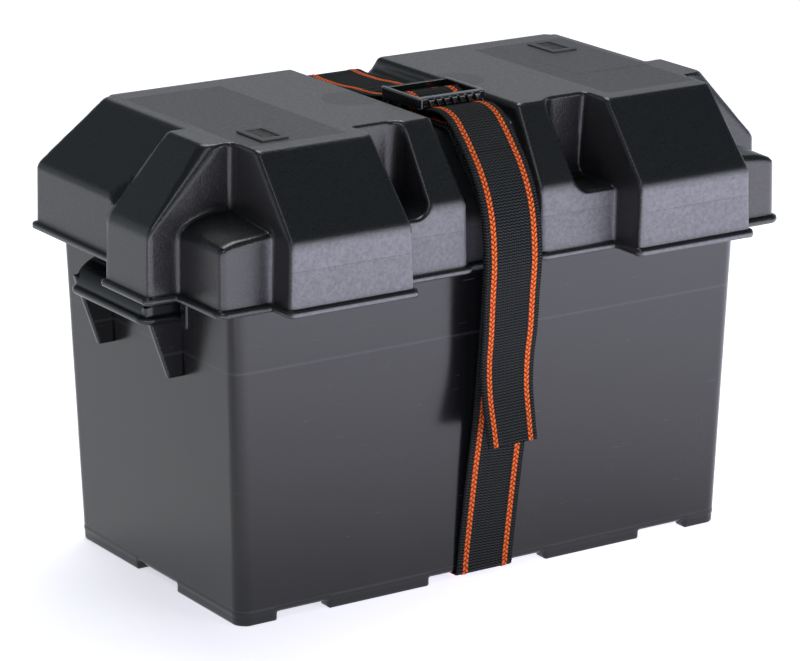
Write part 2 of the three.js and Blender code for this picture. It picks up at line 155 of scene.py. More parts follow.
def net(field, axes, h):
    """Points and quads over the field's zero surface, on a grid with the given levels.

    Each cell's point goes where the surface's tangents through the cell meet, which
    keeps edges crisp.
    """
    values = field(*np.meshgrid(*axes, indexing="ij", sparse=True)).astype(np.float32)
    cells = np.array(values.shape) - 1
    inside = values < 0
    stride = np.array([cells[1] * cells[2], cells[2], 1])
    ids, spots, slopes, quads = [], [], [], []
    for axis in range(3):
        ahead = [slice(None)] * 3
        behind = [slice(None)] * 3
        ahead[axis], behind[axis] = slice(1, None), slice(None, -1)
        crossing = np.argwhere(inside[tuple(ahead)] != inside[tuple(behind)])
        j, k = (n for n in range(3) if n != axis)
        for n in (j, k):
            crossing = crossing[(crossing[:, n] > 0) & (crossing[:, n] < cells[n])]
        after = crossing.copy()
        after[:, axis] += 1
        spot = np.stack([a[crossing[:, n]] for n, a in enumerate(axes)], axis=1)
        start, end = spot[:, axis].copy(), axes[axis][after[:, axis]]
        a, b = values[tuple(crossing.T)].astype(float), values[tuple(after.T)].astype(float)
        rising = a < 0
        for _ in range(REFINEMENTS):
            spot[:, axis] = start + (end - start) * np.clip(a / (a - b), MARGIN, 1 - MARGIN)
            value = field(*spot.T)
            first = (value < 0) == rising
            start, a = np.where(first, spot[:, axis], start), np.where(first, value, a)
            end, b = np.where(first, end, spot[:, axis]), np.where(first, b, value)
        slope = gradient(field, spot, h)[0]
        slope /= np.maximum(np.linalg.norm(slope, axis=1), 1e-6)[:, None]
        around = []
        for dj, dk in ((1, 1), (0, 1), (0, 0), (1, 0)):
            cell = crossing.copy()
            cell[:, j] -= dj
            cell[:, k] -= dk
            around.append(cell @ stride)
        quad = np.stack(around, axis=1)
        back = rising if axis == 1 else ~rising
        quad[back] = quad[back][:, ::-1]
        ids.append(quad.ravel())
        spots.append(np.repeat(spot, 4, axis=0))
        slopes.append(np.repeat(slope, 4, axis=0))
        quads.append(quad)
    used, where = np.unique(np.concatenate(ids), return_inverse=True)
    spots, slopes = np.concatenate(spots), np.concatenate(slopes)
    count = np.bincount(where)
    middle = np.stack([np.bincount(where, spots[:, k]) / count for k in range(3)], axis=1)
    reach = np.sum(slopes * (spots - middle[where]), axis=1)
    square = np.zeros((len(used), 3, 3))
    pull = np.zeros((len(used), 3))
    for p in range(3):
        pull[:, p] = np.bincount(where, slopes[:, p] * reach)
        for q in range(3):
            square[:, p, q] = np.bincount(where, slopes[:, p] * slopes[:, q])
    square += np.eye(3) * HOLD
    place = middle + np.linalg.solve(square, pull[..., None])[..., 0]
    size = [np.diff(a) for a in axes]
    cell = np.stack(np.unravel_index(used, cells), axis=1)
    for k in range(3):
        low, wide = axes[k][cell[:, k]], size[k][cell[:, k]]
        place[:, k] = np.clip(place[:, k], low - OVERHANG * wide, low + (1 + OVERHANG) * wide)
    return place, np.searchsorted(used, np.concatenate(quads))


def moulded(name, field, low, high, step, axes=None):
    """A moulded piece from its field, in millimetres with y from the tub's middle."""
    axes = axes or [levels(a, b, step) for a, b in zip(low, high)]
    place, quads = net(field, axes, step * TANGENT_STEP)
    slope, bend = gradient(field, place, step * NORMAL_STEP)
    normal = slope / np.maximum(np.linalg.norm(slope, axis=1), 1e-6)[:, None]
    return solid(name, place, quads, normal, bend)


def add_object(name, data):
    made = bpy.data.objects.new(name, data)
    bpy.context.scene.collection.objects.link(made)
    return made


def solid(name, place, faces, normal=None, bend=None):
    """A mesh object from points in millimetres, with y from the tub's middle."""
    mesh = bpy.data.meshes.new(name)
    at = (np.asarray(place, float) + [0, MID_Y, 0]) * MM
    if isinstance(faces, np.ndarray):
        mesh.vertices.add(len(at))
        mesh.vertices.foreach_set("co", at.astype(np.float32).ravel())
        mesh.loops.add(faces.size)
        mesh.loops.foreach_set("vertex_index", faces.astype(np.int32).ravel())
        mesh.polygons.add(len(faces))
        starts = np.arange(len(faces), dtype=np.int32) * faces.shape[1]
        mesh.polygons.foreach_set("loop_start", starts)
        mesh.update(calc_edges=True)
    else:
        mesh.from_pydata(at.tolist(), [], faces)
    mesh.shade_smooth()
    if bend is not None:
        data = mesh.attributes.new("bend", "FLOAT", "POINT").data
        data.foreach_set("value", bend.astype(np.float32))
    if normal is not None:
        mesh.normals_split_custom_set_from_vertices(normal.tolist())
    return add_object(name, mesh)


def dress(piece, finish, body, stands_for=()):
    """Gives a piece its finish and body, and hides the CAD nodes it stands for."""
    piece.data.materials.clear()
    piece.data.materials.append(finish)
    if stands_for:
        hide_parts(*stands_for)
    if body:
        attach(piece, body)
    return piece


# ---- shader maths ----
class Wire:
    """A value socket that works in Python expressions."""

    def __init__(self, look, socket):
        self.look, self.socket = look, socket

    def maths(self, operation, *values):
        return self.look.node("ShaderNodeMath", {"operation": operation}, dict(enumerate(values)))

    def __add__(self, other):
        return self.maths("ADD", self, other)

    __radd__ = __add__

    def __sub__(self, other):
        return self.maths("SUBTRACT", self, other)

    def __rsub__(self, other):
        return self.maths("SUBTRACT", other, self)

    def __mul__(self, other):
        return self.maths("MULTIPLY", self, other)

    __rmul__ = __mul__

    def __truediv__(self, other):
        return self.maths("DIVIDE", self, other)

    def __rtruediv__(self, other):
        return self.maths("DIVIDE", other, self)

    def __abs__(self):
        return self.maths("ABSOLUTE", self)

    def sine(self):
        return self.maths("SINE", self)

    def power(self, other):
        return self.maths("POWER", self, other)

    def fraction(self):
        return self.maths("FRACT", self)

    def floor(self):
        return self.maths("FLOOR", self)

    def highest(self, other):
        return self.maths("MAXIMUM", self, other)

    def lowest(self, other):
        return self.maths("MINIMUM", self, other)

    def ramp(self, low, high):
        """0 below low and 1 above high, smooth between; falls where low is above high."""
        values = {"Value": self, "From Min": min(low, high), "From Max": max(low, high)}
        if low > high:
            values.update({"To Min": 1.0, "To Max": 0.0})
        return self.look.node("ShaderNodeMapRange", {"interpolation_type": "SMOOTHSTEP"}, values)


class Finish:
    """The nodes of a material, or of the world, under construction."""

    def __init__(self, owner):
        self.owner = bpy.data.materials.new(owner) if isinstance(owner, str) else owner
        self.owner.use_nodes = True
        self.tree = self.owner.node_tree
        self.tree.nodes.clear()

    def node(self, kind, settings=None, values=None, out=0):
        """Adds a node: settings first, then socket values or wires; gives one output as a wire."""
        made = self.tree.nodes.new(kind)
        for key, value in (settings or {}).items():
            setattr(made, key, value)
        for key, value in (values or {}).items():
            if isinstance(value, Wire):
                self.tree.links.new(value.socket, made.inputs[key])
            else:
                made.inputs[key].default_value = value
        return Wire(self, made.outputs[out]) if made.outputs else None

    def mix(self, factor, a, b):
        """Colour a where factor is 0 and b where it is 1."""
        a, b = ((*c, 1.0) if isinstance(c, tuple) else c for c in (a, b))
        return self.node("ShaderNodeMix", {"data_type": "RGBA"}, {0: factor, 6: a, 7: b}, 2)

    def places(self, output="Object"):
        """The object's own coordinates or normal, as three wires and the vector."""
        vector = self.node("ShaderNodeTexCoord", out=output)
        return [*self.split(vector), vector]

    def split(self, vector):
        parts = self.node("ShaderNodeSeparateXYZ", None, {0: vector})
        outputs = parts.socket.node.outputs
        return [Wire(self, outputs[k]) for k in range(3)]

    def stretched(self, vector, scale):
        return self.node("ShaderNodeVectorMath", {"operation": "MULTIPLY"}, {0: vector, 1: scale})

    def noise(self, vector, scale, detail=3.0, rough=0.55, warp=0.0):
        values = {"Vector": vector, "Scale": scale, "Detail": detail, "Roughness": rough}
        values["Distortion"] = warp
        return self.node("ShaderNodeTexNoise", None, values, "Fac")

    def spots(self, vector, scale):
        values = {"Vector": vector, "Scale": scale, "Randomness": 1.0}
        return self.node("ShaderNodeTexVoronoi", None, values, "Distance")

    def bend(self):
        """How strongly a moulded piece's surface bends: above 0 on edges."""
        return self.node("ShaderNodeAttribute", {"attribute_name": "bend"}, None, "Fac")

    def bump(self, height, strength, distance):
        values = {"Height": height, "Strength": strength, "Distance": distance}
        return self.node("ShaderNodeBump", None, values)

    def done(self, base, rough, normal, constants=None):
        values = {"Base Color": base, "Roughness": rough, "Normal": normal, **(constants or {})}
        shader = self.node("ShaderNodeBsdfPrincipled", None, values)
        self.node("ShaderNodeOutputMaterial", None, {"Surface": shader})
        return self.owner


def scaled(colour, factor):
    """A darker or lighter version of a colour."""
    return tuple(v * factor for v in colour)


# ---- user sizes and colours ----
class BoxSizes(bpy.types.PropertyGroup):
    """Sizes of the box's details, in metres."""

    lid_wall: bpy.props.FloatProperty(
        name="Lid wall", description="Thickness of the lid", default=0.0033, unit="LENGTH"
    )
    bead: bpy.props.FloatProperty(
        name="Rim bead",
        description="How far the rolled rim stands out",
        default=0.0029,
        unit="LENGTH",
    )
    grid: bpy.props.FloatProperty(
        name="Moulding grid",
        description="Spacing of the points on moulded pieces",
        default=0.0018,
        unit="LENGTH",
    )
    strap_width: bpy.props.FloatProperty(
        name="Strap width", description="Width of the webbing", default=0.038, unit="LENGTH"
    )
    strap_thick: bpy.props.FloatProperty(
        name="Strap thickness",
        description="Thickness of the webbing",
        default=0.0016,
        unit="LENGTH",
    )
    stripe_offset: bpy.props.FloatProperty(
        name="Stripe place",
        description="From the strap's middle to a stripe's middle",
        default=0.0134,
        unit="LENGTH",
    )
    stripe_width: bpy.props.FloatProperty(
        name="Stripe width", description="Width of one stripe", default=0.0036, unit="LENGTH"
    )


class BoxColours(bpy.types.PropertyGroup):
    """Colours of the box's finishes."""

    # Painted light from above: set far lighter than the skirts and slopes, standing for the light
    # on the roof's grain.
    roof: bpy.props.FloatVectorProperty(
        name="Lid roof",
        description="Grained roof of the lid",
        subtype="COLOR",
        default=(0.108, 0.104, 0.114),
    )
    # The end skirts' colour; the front skirts take it many times lighter, as painted light from
    # the front.
    skirt: bpy.props.FloatVectorProperty(
        name="Lid skirt",
        description="Grained skirts of the lid",
        subtype="COLOR",
        default=(0.009, 0.0088, 0.0102),
    )
    slope: bpy.props.FloatVectorProperty(
        name="Lid slope",
        description="Smooth slopes of the lid",
        subtype="COLOR",
        default=(0.0078, 0.0092, 0.01),
    )
    tub: bpy.props.FloatVectorProperty(
        name="Tub", description="Tub plastic", subtype="COLOR", default=(0.0055, 0.0058, 0.0068)
    )
    webbing: bpy.props.FloatVectorProperty(
        name="Webbing", description="Black yarn", subtype="COLOR", default=(0.0045, 0.0053, 0.0056)
    )
    stripe: bpy.props.FloatVectorProperty(
        name="Stripe", description="Orange yarn", subtype="COLOR", default=(0.84, 0.145, 0.026)
    )


def sizes():
    return bpy.context.scene.battery_box_sizes


def colours():
    return bpy.context.scene.battery_box_colours


# ---- finishes ----
# Marks on the lid: places as (x, y) with y from the tub's middle, and sizes, in millimetres.
PANEL_AT, PANEL_HALF = (117.5, -12.5), (31.0, 66.5)
LEFT_DISC, RIGHT_DISC, DISC_RADIUS = (-41.0, -12.0), (33.5, -5.0), 16.5
DOT, DOT_RADIUS = (-32.6, -6.8), 0.9
BAND_DROP = 14.8  # from the skirts' edge down to their lower band
FRONT_WALL = 100.5  # the front skirts lie beyond this y
CORNER_X = 156.0  # the corner posts lie beyond this x
# Marks on the tub.
STEP_DROP = 69.0  # from the tub's top down to the moulding's step line
FOOT_LINE = 8.5
# Pitches of the webbing: its cross ribs, its yarns and the links of its stripes.
RIB, YARN, LINK = 1.65, 1.5, 2.75


def lid_finish():
    f = Finish("lid_plastic")
    c = colours()
    x, y, z, place = f.places()
    _, facing, up, _ = f.places("Normal")
    top = up.ramp(0.9, 0.985) * z.ramp((ROOF - 3) * MM, (ROOF - 1) * MM)
    upright = abs(up).ramp(0.5, 0.2)
    grain = f.noise(place, 900.0, 2.0, 0.6)
    pits = f.spots(place, 1100.0)
    cloud = f.noise(place, 14.0, 3.0, 0.6)
    mottle = f.noise(place, 430.0, 3.0, 0.75)
    # Darker, finer-grained panels on the roof.
    right = abs(x)
    panel = top
    for where, at, half in zip((right, y - MID_Y * MM), PANEL_AT, PANEL_HALF):
        panel = panel * abs(where - at * MM).ramp((half + 0.5) * MM, (half - 0.5) * MM)

    # Round vestiges beside the channel, and a gate mark.
    def away(place_x, place_y):
        dx, dy = x - place_x, y - MID_Y * MM - place_y
        return (dx * dx + dy * dy).power(0.5)

    hand = x.ramp(-0.001, 0.001)
    reach = away(*(hand * ((b - a) * MM) + a * MM for a, b in zip(LEFT_DISC, RIGHT_DISC)))
    disc = reach.ramp(DISC_RADIUS * MM, (DISC_RADIUS - 0.4) * MM) * top
    rim_line = abs(reach - DISC_RADIUS * MM).ramp(0.0006, 0.0001) * top
    dot = away(*(c * MM for c in DOT)).ramp((DOT_RADIUS + 0.2) * MM, (DOT_RADIUS - 0.2) * MM) * top
    # A grained lower band on the skirts, with a thin line where it starts.
    band_z = (EDGE - BAND_DROP) * MM
    band = z.ramp(band_z + 0.0002, band_z - 0.0002) * upright
    line = abs(z - band_z).ramp(0.0004, 0.0001) * upright
    # Painted light from the front: front-facing skirts are painted many times lighter than the end
    # skirts, and the corner posts' fronts keep only a little of it.
    wall_y = (MID_Y - FRONT_WALL) * MM
    front = facing.ramp(-0.6, -0.92) * upright * y.ramp(wall_y + 0.0025, wall_y - 0.0025)
    front = front * (1.0 - right.ramp((CORNER_X - 3) * MM, (CORNER_X + 3) * MM) * 0.93)
    specks = f.spots(place, 260.0).ramp(0.07, 0.03) * f.noise(place, 60.0).ramp(0.6, 0.7)
    scuff = f.noise(f.stretched(place, (60.0, 420.0, 420.0)), 1.0, 4.0, 0.7).ramp(0.66, 0.74)
    base = f.mix(upright, tuple(c.slope), tuple(c.skirt))
    # Painted light: the front skirts take the skirt colour 13.2 times lighter.
    base = f.mix(front, base, scaled(c.skirt, 13.2))
    # Painted light from above: the roof's grain is painted far lighter than the slopes and the end
    # skirts.
    base = f.mix(top, base, tuple(c.roof))
    base = f.mix(band * 0.12, base, (0.01, 0.01, 0.012))
    base = f.mix(panel * 0.75, base, scaled(c.roof, 0.45))
    base = f.mix(disc * 0.7, base, scaled(c.roof, 0.5))
    base = f.mix(line * 0.3, base, (0.004, 0.004, 0.005))
    base = f.mix((dot + rim_line * 0.3).lowest(1.0), base, (0.002, 0.002, 0.002))
    glints = (grain - 0.5).highest(0.0) * (0.12 + top * 0.5 + upright * 0.3)
    base = f.mix(glints, base, (0.2, 0.2, 0.21))
    base = f.mix((cloud - 0.5).highest(0.0) * 0.12, base, (0.05, 0.05, 0.053))
    # Grain mottle, shown only where light is painted: on the roof and the front skirts.
    grained = top + front
    base = f.mix((mottle - 0.5).highest(0.0) * grained * 0.7, base, (0.34, 0.34, 0.36))
    base = f.mix((0.5 - mottle).highest(0.0) * grained * 1.6, base, (0.01, 0.01, 0.011))
    edge = (f.bend() * 0.9).ramp(0.15, 0.7)
    # Painted highlights: convex edges are painted lighter, standing for the thin reflections along
    # them.
    base = f.mix(edge * 0.1, base, (0.12, 0.12, 0.125))
    base = f.mix(specks * 0.3 + scuff * 0.05, base, (0.3, 0.3, 0.3))
    rough = 0.29 + (front * 0.12 + upright * 0.03 + top * 0.2) * (1.0 - edge * 0.8) - edge * 0.06
    rough = rough + (grain - 0.5) * 0.12 + panel * 0.06 - disc * 0.05 + scuff * 0.1
    height = (grain + pits * 0.5) * (0.35 + top * 0.45 + upright * 0.75 + panel * 0.5)
    return f.done(base, rough, f.bump(height - rim_line * 1.2, 0.35, 0.0003))


def tub_finish():
    f = Finish("tub_plastic")
    c = colours()
    _, _, z, place = f.places()
    grain = f.noise(place, 700.0, 2.0, 0.5)
    cloud = f.noise(place, 9.0, 3.0, 0.6)
    flow = f.noise(f.stretched(place, (38.0, 38.0, 3.0)), 1.0, 3.0, 0.6)
    band_flow = f.noise(f.stretched(place, (3.0, 3.0, 30.0)), 1.0, 4.0, 0.65, 0.4)
    line = abs(z - (TUB_TOP - STEP_DROP) * MM).ramp(0.0012, 0.0002)
    foot_line = abs(z - FOOT_LINE * MM).ramp(0.0006, 0.0001)
    nicks = f.noise(f.stretched(place, (90.0, 90.0, 900.0)), 1.0, 2.0, 0.6).ramp(0.745, 0.78)
    scratch = f.noise(f.stretched(place, (55.0, 55.0, 1400.0)), 1.0, 1.0, 0.5).ramp(0.77, 0.8)
    specks = f.spots(place, 160.0).ramp(0.06, 0.02) * f.noise(place, 40.0).ramp(0.58, 0.66)
    base = f.mix((cloud - 0.4).highest(0.0), tuple(c.tub), scaled(c.tub, 1.5))
    base = f.mix(flow.ramp(0.5, 0.8) * 0.4, base, scaled(c.tub, 1.35))
    base = f.mix(line * 0.25 + foot_line * 0.2, base, (0.06, 0.062, 0.068))
    base = f.mix((nicks + scratch) * 0.3, base, (0.12, 0.12, 0.125))
    base = f.mix(specks * 0.5, base, (0.25, 0.25, 0.26))
    rough = 0.23 + (cloud - 0.5) * 0.2 + (flow - 0.5) * 0.18 + (grain - 0.5) * 0.05 + scratch * 0.2
    height = grain * 0.06 + flow * 1.0 + band_flow * 1.5 - foot_line * 0.5 + line * 0.3
    return f.done(base, rough, f.bump(height, 0.1, 0.0006), {"Specular IOR Level": 0.42})


def gloss_finish():
    f = Finish("buckle_gloss")
    place = f.places()[3]
    fine = f.noise(place, 1500.0, 2.0)
    wear_and_sheen = f.noise(place, 260.0, 4.0, 0.7)
    edge = (f.bend() * 0.5).ramp(0.2, 1.0)
    # Painted highlights: convex edges painted light grey, broken up by the wear noise.
    base = f.mix(edge * 0.55 * wear_and_sheen, (0.008, 0.0085, 0.009), (0.3, 0.31, 0.32))
    rough = 0.16 + (wear_and_sheen - 0.5) * 0.16 + edge * 0.1
    return f.done(base, rough, f.bump(fine * 0.4 + wear_and_sheen, 0.12, 0.0002), {"Coat Weight": 0.35})


def vent_finish():
    f = Finish("vent_plastic")
    _, _, z, place = f.places()
    grain = f.noise(place, 1400.0, 2.0)
    low = z.ramp((ROOF + 0.9) * MM, (ROOF + 0.2) * MM)
    base = f.mix(low, (0.028, 0.0285, 0.03), (0.05, 0.051, 0.053))
    # Painted highlights: convex edges painted lighter.
    base = f.mix((f.bend() * 0.4).ramp(0.2, 1.0) * 0.5, base, (0.17, 0.17, 0.175))
    base = f.mix((grain - 0.45).highest(0.0), base, (0.14, 0.14, 0.145))
    return f.done(base, 0.42 + (grain - 0.5) * 0.3, f.bump(grain, 0.3, 0.0002))


def webbing_finish():
    f = Finish("webbing")
    c, s = colours(), sizes()
    vector = f.node("ShaderNodeAttribute", {"attribute_name": "weave"}, None, "Vector")
    u, v, _ = f.split(vector)
    out = abs(u)
    across = (out - s.stripe_offset / MM) / (s.stripe_width / MM / 2)
    ragged = f.noise(vector, 1.3, 2.0)
    stripe = abs(across + (ragged - 0.5) * 0.25).ramp(1.02, 0.88)
    # Plain weave: ribs across, each split into yarns that step from rib to rib.
    yarn = u / YARN
    rib = v / RIB + 0.25 * (yarn.floor() * 0.5).fraction() * 2.0 + (ragged - 0.5) * 0.15
    rib_height = abs((rib * math.pi).sine())
    yarn_height = abs((yarn * math.pi).sine()).power(0.5)
    ground = rib_height.power(0.8) * (0.55 + yarn_height * 0.45)
    # Stripe: a plait of two columns of slanting links, half a link apart.
    column = across.ramp(-0.02, 0.02)
    link_at = v / LINK + column * 0.5 + abs(across) * 0.45 + (ragged - 0.5) * 0.12
    chain = abs((link_at * math.pi).sine())
    split = abs(across).ramp(0.02, 0.2)
    link = chain.power(0.8) * (0.5 + split * 0.5)
    fibre = f.noise(f.stretched(vector, (9.0, 2.2, 1.0)), 1.0, 3.0, 0.7)
    # Painted light and shade of the weave: rib crests are painted lighter as highlights, and the
    # hollows between ribs near black as shade.
    dark = f.mix(ground.ramp(0.45, 1.0), scaled(c.webbing, 0.15), scaled(c.webbing, 6.5))
    dark = f.mix(fibre.ramp(0.55, 0.8) * 0.2 * ground, dark, (0.035, 0.038, 0.04))
    # Painted shade: the gaps between the stripe's links are painted dark red-brown, and the crests
    # take the stripe colour.
    orange = f.mix(link.ramp(0.15, 0.8), (0.12, 0.012, 0.003), tuple(c.stripe))
    orange = f.mix(fibre.ramp(0.5, 0.85) * 0.3 * link, orange, (1.0, 0.36, 0.12))
    base = f.mix(stripe, dark, orange)
    selvage = out.ramp(17.6, 18.6)
    base = f.mix(selvage * 0.5, base, scaled(c.webbing, 0.7))
    height = ground * (1.0 - stripe) + (link * 1.7 + 0.6) * stripe + fibre * 0.15
    rough = 0.62 + (1.0 - ground) * 0.2 - stripe * 0.04
    return f.done(base, rough, f.bump(height, 1.0, 0.0006), {"Specular IOR Level": 0.14})


def thread_finish():
    f = Finish("thread")
    place = f.places()[3]
    twist = f.noise(f.stretched(place, (900.0, 2600.0, 900.0)), 1.0, 2.0)
    base = f.mix(twist, (0.008, 0.008, 0.009), (0.045, 0.045, 0.048))
    return f.done(base, 0.6 + twist * 0.2, f.bump(twist, 0.5, 0.0002))


# ---- lid ----
CHANNEL = 28.3  # half width at the roof
FLOOR_Y = 100.02  # the channel's floor on the front and back skirts
SCOOP_X, OUTER_X = 74.9, 152.1
CORE_FRONT, CORE_BACK = -103.92, 103.42
END_X = 169.42  # the tub's end at its top edge
REAR_RIM = RIM + 11.7  # the rear end blocks start this high
REAR_EDGE = EDGE + 9.6
BEAD_HALF = 1.95  # half the height of a rolled rim
VENTS = [
    ((low + high) / 2 / MM).to_2d() - Vector((0, MID_Y))
    for low, high in (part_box("vent_left"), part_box("vent_right"))
]


def end_block(x, y, z, reach, roof, near, far, rim, edge_z, lean, swell=(2.6, 9.0)):
    """A block on the lid's end, between a near and a far limit in y."""
    body = side(x, z, reach + 0.6, reach, roof, 2.4, rim, edge_z)
    swell = np.interp(z, [edge_z + 2.0, ROOF], swell)
    body = round_max(body, side(-y, z, near[0] + 0.3, near[0], near[1], 2.0, rim, edge_z), swell)
    return round_max(body, side(y, z, far[0] + 0.3, far[0], far[1], 1.2, rim, edge_z), lean)


def lid_bodies(x, y, z, join=round_min):
    """The lid's outer shape above its rims: the main body, and the rear end blocks."""
    x = abs(x)
    roof = z - ROOF
    drop = ROOF - z
    # The set-back middle of the front, with a notch on each side.
    middle = side(-y, z, -CORE_FRONT + 1, -CORE_FRONT - 0.3, -CORE_FRONT - 30.2)
    middle = np.maximum(round_max(middle, x - 90.0, 1.0), y - 20.0)
    low = EDGE - 4.6 - z - (y + 90.0) * 0.02
    cutter = every(47.5 - x + drop * 0.03, y + 69.4 - drop * 0.02, low, r=8.5)
    middle = round_max(middle, -cutter, 2.6)
    # The trunk behind it, from side to side.
    sides = side(x, z, OUTER_X + 0.8, OUTER_X, OUTER_X - 2, 3.0)
    behind = side(y, z, CORE_BACK + 0.6, CORE_BACK, CORE_BACK - 33.5, 3.0)
    behind = round_max(behind, sides, 3.0)
    trunk = round_max(behind, -y - 69.5 + drop * 0.02, 2.6)
    # The front blocks, and the end blocks beside them.
    front = round_max(side(-y, z, 127.7, 127.12, 90.12, 2.8), sides, 3.2)
    front = round_max(front, side(-x, z, -SCOOP_X + 1, -SCOOP_X, -SCOOP_X - 2.2, 2.5), 3.0)
    body = join(np.minimum(trunk, middle), np.maximum(front, y), 3.0)
    near, far = (66.3, 66.3), (-20.0, -23.9)
    near_end = end_block(x, y, z, END_X + 32.6, END_X - 3.8, near, far, RIM, EDGE, 0.9)
    body = join(body, near_end, 3.5)
    body = round_max(body, roof, 1.8)
    # Corner posts, and the plainer back corners.
    post = side(x, z, END_X + 14.4, END_X + 14, END_X + 3, 3.0, RIM, EDGE - 2.0, EDGE + 5)
    post = round_max(post, -y - 109.2 + (z - RIM) * 0.01, 3.6)
    post = every(post, z - (EDGE + 3.6) + (x - y - 252.0) * 0.1, 130.0 - x, r=3.4)
    back = every(x - 176.0, y - 101.9, z - (EDGE - 4.9), 120.0 - x, r=3.5)
    body = join(body, np.minimum(np.maximum(post, y), np.maximum(back, -y)), 3.2)
    place, near, far, swell = (END_X + 27.5, END_X - 14.8), (33.0, 33.0), (69.0, 66.4), (0.4, 0.4)
    rear = end_block(x, y, z, *place, near, far, REAR_RIM, REAR_EDGE, 2.4, swell)
    # Beside the front block the rear one draws in to stay just inside it.
    flush = side(x, z, END_X + 33.2, END_X + 32.6, END_X - 3.8, 2.4) + 1.2
    flush = flush - np.maximum(y + 21.0, 0.0) * 0.45
    return body, round_max(every(rear, flush, 100.0 - x, r=0.6), roof, 1.8)


def lid_channel(x, y, z):
    """Everything the strap's channel takes away."""
    top = ROOF - 9.2
    front = every(-y - FLOOR_Y, face(-y, z, (FLOOR_Y, EDGE - 6.4), (70.3, top)), r=6.0)
    back = every(y - FLOOR_Y, face(y, z, (FLOOR_Y, EDGE + 2.7), (75.9, top)), r=6.0)
    bed = every(front, back, z - top, r=5.0)
    half = np.interp(z, [EDGE, ROOF], [CHANNEL - 4.2, CHANNEL])
    return round_max(abs(x) - half, -bed, 4.2)


def lid_field(x, y, z):
    """The lid: a hollow shell with rolled rims, the strap's channel and pockets for the vents."""
    wall, flare = sizes().lid_wall / MM, sizes().bead / MM
    body, rear = lid_bodies(x, y, z)
    channel = lid_channel(x, y, z)
    body = round_max(body, -channel, 3.6)
    # The hollow follows the same shape without its fillets.
    plain, plain_rear = lid_bodies(x, y, z, lambda a, b, r: np.minimum(a, b))
    plain = round_max(plain, -channel, 3.6)
    ends = np.abs(np.abs(x) - 190.0) - 30.0
    outer = np.maximum(body, RIM - z)
    outer = round_min(outer, np.maximum(rear, REAR_RIM - z), 1.0)
    bead = round_max(body - flare, np.abs(z - RIM - BEAD_HALF) - BEAD_HALF, 1.5)
    rear_bead = np.abs(z - REAR_RIM - BEAD_HALF) - BEAD_HALF
    rear_bead = round_max(np.maximum(rear - flare, ends), rear_bead, 1.5)
    outer = round_min(outer, np.minimum(bead, rear_bead), 0.9)
    high = np.maximum(np.minimum(plain, plain_rear) + wall, RIM + 8 - z)
    hollow = np.minimum(plain + wall, high)
    shell = round_max(outer, -hollow, 0.5)
    vent_y = np.where(x < 0, VENTS[0][1], VENTS[1][1])
    pocket = np.maximum(np.abs(np.abs(x) - VENTS[1][0]) - 6.9, np.abs(y - vent_y) - 11.6)
    return np.maximum(shell, -np.maximum(pocket, ROOF - 5 - z))


def make_lid(finish):
    grid = sizes().grid / MM
    low, high = LID_LOW - [0, MID_Y, 0], LID_HIGH - [0, MID_Y, 0]
    piece = moulded("lid_shell", lid_field, low, high, grid)
    return dress(piece, finish, "lid", ["lid"])


# ---- tub ----
HANDLE_Z = 165.5
HANDLE_HALF = 40.4
HANDLE_REACH = 24.5
WALL_X, WALL_Y, DRAFT = 163, 90.2, 0.03  # the tub's half sizes at its foot, and its lean
SKIN = 3.0  # thickness of the tub's wall


def rounded(x, y, half_x, half_y, r):
    """A rounded rectangle in plan."""
    qx, qy = np.abs(x) - half_x + r, np.abs(y) - half_y + r
    return np.hypot(np.maximum(qx, 0), np.maximum(qy, 0)) + np.minimum(np.maximum(qx, qy), 0) - r


def tub_wall(x, y, z, inset=0.0):
    grown = DRAFT * z - inset
    return rounded(x, y, WALL_X + grown, WALL_Y + grown, 8 - inset)


def tub_field(x, y, z):
    """The tub: a hollow shell on a ring of feet."""
    underside, foot_top, room_floor = 4.8, 7.0, 8.3
    wall = tub_wall(x, y, z)
    upright = np.abs(z - (TUB_TOP + underside) / 2) - (TUB_TOP - underside) / 2
    shell = round_max(wall, upright, 2.2)
    ring = np.maximum(wall, -rounded(x, y, 154, 81.2, 3))
    ring = round_max(ring, -z, 1.0)
    gaps = np.minimum(np.abs(x) - 39.5, np.abs(y) - 21.5)
    gaps = np.minimum(gaps, np.abs(np.abs(x) - 122.5) - 16.5)
    foot = round_max(round_max(ring, -gaps, 1.6), z - foot_top, 0.3)
    body = round_min(shell, foot, 1.2)
    room = np.maximum(tub_wall(x, y, z, SKIN), room_floor - z)
    return round_max(body, -room, 0.9)


